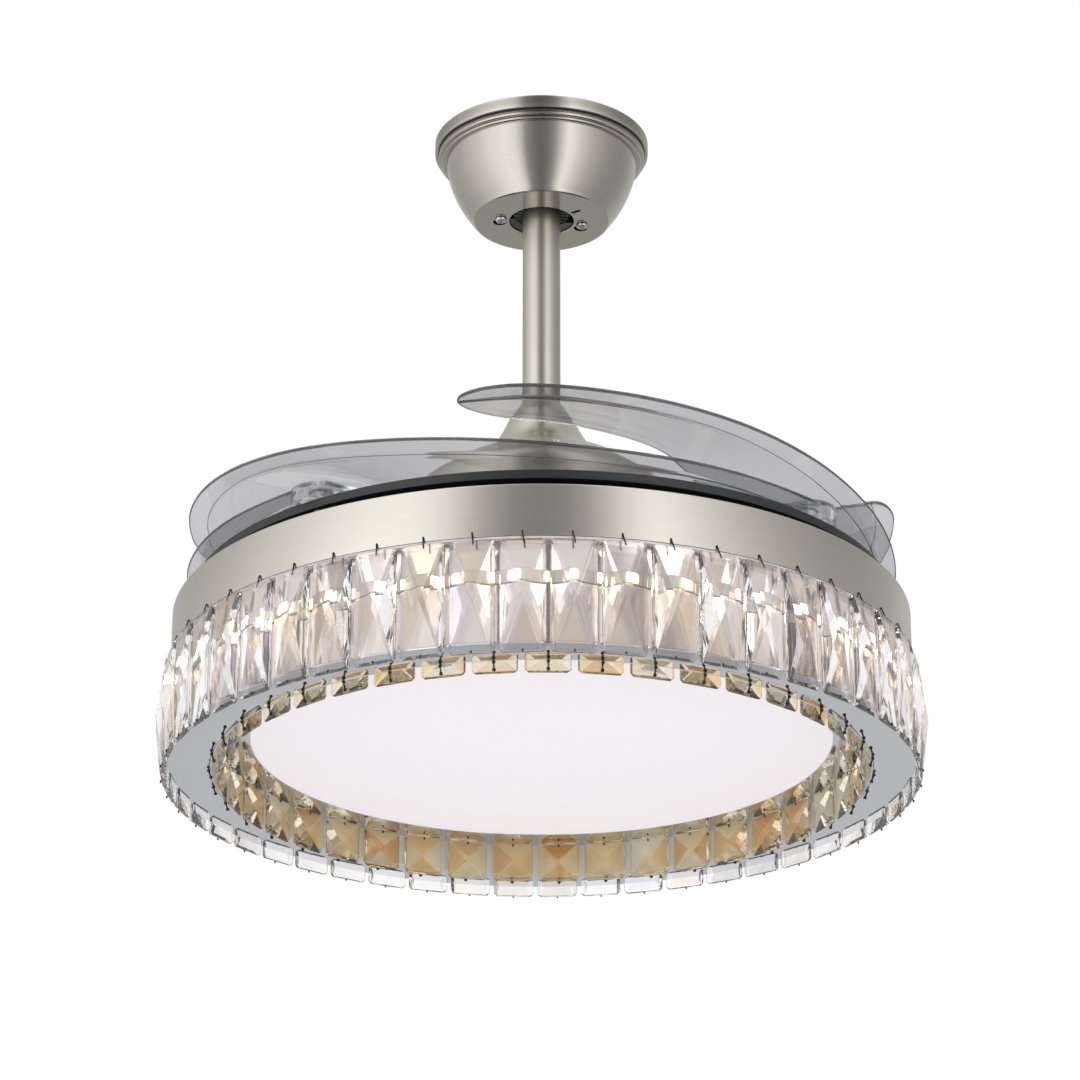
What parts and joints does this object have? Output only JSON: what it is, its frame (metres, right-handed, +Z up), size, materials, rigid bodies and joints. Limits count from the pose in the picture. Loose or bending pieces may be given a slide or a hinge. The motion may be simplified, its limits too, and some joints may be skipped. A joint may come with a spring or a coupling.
{
  "type": "chandelier ceiling fan",
  "caption": "Ceiling fan on a downrod: clear folding blades over a round drum lamp ringed with cut crystals, satin nickel trim and an opal light panel.",
  "frame": {"origin": "centre of the ceiling bracket's top face, on the fan's vertical axis", "axes": "+Z up into the ceiling along the downrod and motor axis, -Y towards the side that the picture shows"},
  "size_m": [0.5, 0.4994, 0.4643],
  "materials": {
    "satin_nickel": "satin brushed nickel plate on steel",
    "nickel_aluminium": "satin nickel coat on cast aluminium",
    "mirror_steel": "polished",
    "zinc_steel": "bright zinc plate",
    "spring_steel": "plain wire",
    "laminated_steel": "stacked sheet",
    "magnet_ferrite": "plain",
    "copper_wire": "enamelled copper",
    "cast_aluminium": "as cast",
    "black_steel": "satin black",
    "white_steel": "satin white",
    "black_plastic": "matt",
    "circuit_board": "white board",
    "clear_acrylic": "clear",
    "opal_acrylic": "opal white",
    "clear_crystal": "cut clear crystal",
    "amber_crystal": "cut champagne crystal"
  },
  "bodies": {
    "ceiling_mount": {"ceiling_bracket": "black_steel", "canopy": "satin_nickel", "canopy_screw_left": "zinc_steel", "canopy_screw_right": "zinc_steel"},
    "hanger": {"hanger_ball": "black_plastic", "ball_cross_pin": "zinc_steel", "downrod": "satin_nickel", "motor_coupler": "cast_aluminium", "coupler_bolt": "zinc_steel", "coupler_nut": "zinc_steel", "coupling_cover": "satin_nickel", "motor_shaft": "zinc_steel", "shaft_nut": "zinc_steel", "stator_core": "laminated_steel", "upper_winding": "copper_wire", "lower_winding": "copper_wire", "lamp_tray": "zinc_steel", "nickel_band": "satin_nickel", "drum_wall": "mirror_steel", "bottom_ring": "mirror_steel", "led_strip": "circuit_board", "recess_wall": "mirror_steel", "recess_trim": "mirror_steel", "diffuser": "opal_acrylic", "lamp_pan": "white_steel", "led_panel": "circuit_board", "lamp_standoff_1": "zinc_steel", "lamp_standoff_2": "zinc_steel", "lamp_standoff_3": "zinc_steel", "led_driver": "white_steel", "remote_receiver": "black_plastic", "outer_crystals": "clear_crystal", "inner_crystals": "amber_crystal"},
    "rotor": {"motor_top_shell": "nickel_aluminium", "motor_bottom_shell": "nickel_aluminium", "magnet_ring": "magnet_ferrite", "rotor_yoke": "cast_aluminium", "upper_bearing": "zinc_steel", "lower_bearing": "zinc_steel", "blade_disc": "black_steel", "disc_screw_1": "zinc_steel", "disc_screw_2": "zinc_steel", "disc_screw_3": "zinc_steel", "disc_screw_4": "zinc_steel", "return_spring_1": "spring_steel", "return_spring_2": "spring_steel", "return_spring_3": "spring_steel", "return_spring_4": "spring_steel"},
    "blade_arm_1": {"blade_1": "clear_acrylic", "pivot_post_1": "zinc_steel"},
    "blade_arm_2": {"blade_2": "clear_acrylic", "pivot_post_2": "zinc_steel"},
    "blade_arm_3": {"blade_3": "clear_acrylic", "pivot_post_3": "zinc_steel"},
    "blade_arm_4": {"blade_4": "clear_acrylic", "pivot_post_4": "zinc_steel"}
  },
  "joints": [
    {"name": "hanger_tilt", "type": "hinge", "parent": "ceiling_mount", "child": "hanger", "pos_m": [0, 0, -0.036], "axis": [0.9863, 0.165, 0], "range_deg": [-8, 8]},
    {"name": "rotor_spin", "type": "hinge", "parent": "hanger", "child": "rotor", "pos_m": [0, 0, -0.3], "axis": [0, 0, 1], "continuous": true},
    {"name": "blade_1_swing", "type": "hinge", "parent": "rotor", "child": "blade_arm_1", "pos_m": [0.13676, 0.1659, -0.3403], "axis": [0, 0, 1], "range_deg": [0, 88], "stiffness_Nm_per_rad": 0.4},
    {"name": "blade_2_swing", "type": "hinge", "parent": "rotor", "child": "blade_arm_2", "pos_m": [-0.1659, 0.13676, -0.3403], "axis": [0, 0, 1], "range_deg": [0, 88], "stiffness_Nm_per_rad": 0.4},
    {"name": "blade_3_swing", "type": "hinge", "parent": "rotor", "child": "blade_arm_3", "pos_m": [-0.13676, -0.1659, -0.3403], "axis": [0, 0, 1], "range_deg": [0, 88], "stiffness_Nm_per_rad": 0.4},
    {"name": "blade_4_swing", "type": "hinge", "parent": "rotor", "child": "blade_arm_4", "pos_m": [0.1659, -0.13676, -0.3403], "axis": [0, 0, 1], "range_deg": [0, 88], "stiffness_Nm_per_rad": 0.4}
  ],
  "couplings": [
    {"joint": "blade_2_swing", "follows": "blade_1_swing", "ratio": 1},
    {"joint": "blade_3_swing", "follows": "blade_1_swing", "ratio": 1},
    {"joint": "blade_4_swing", "follows": "blade_1_swing", "ratio": 1}
  ]
}
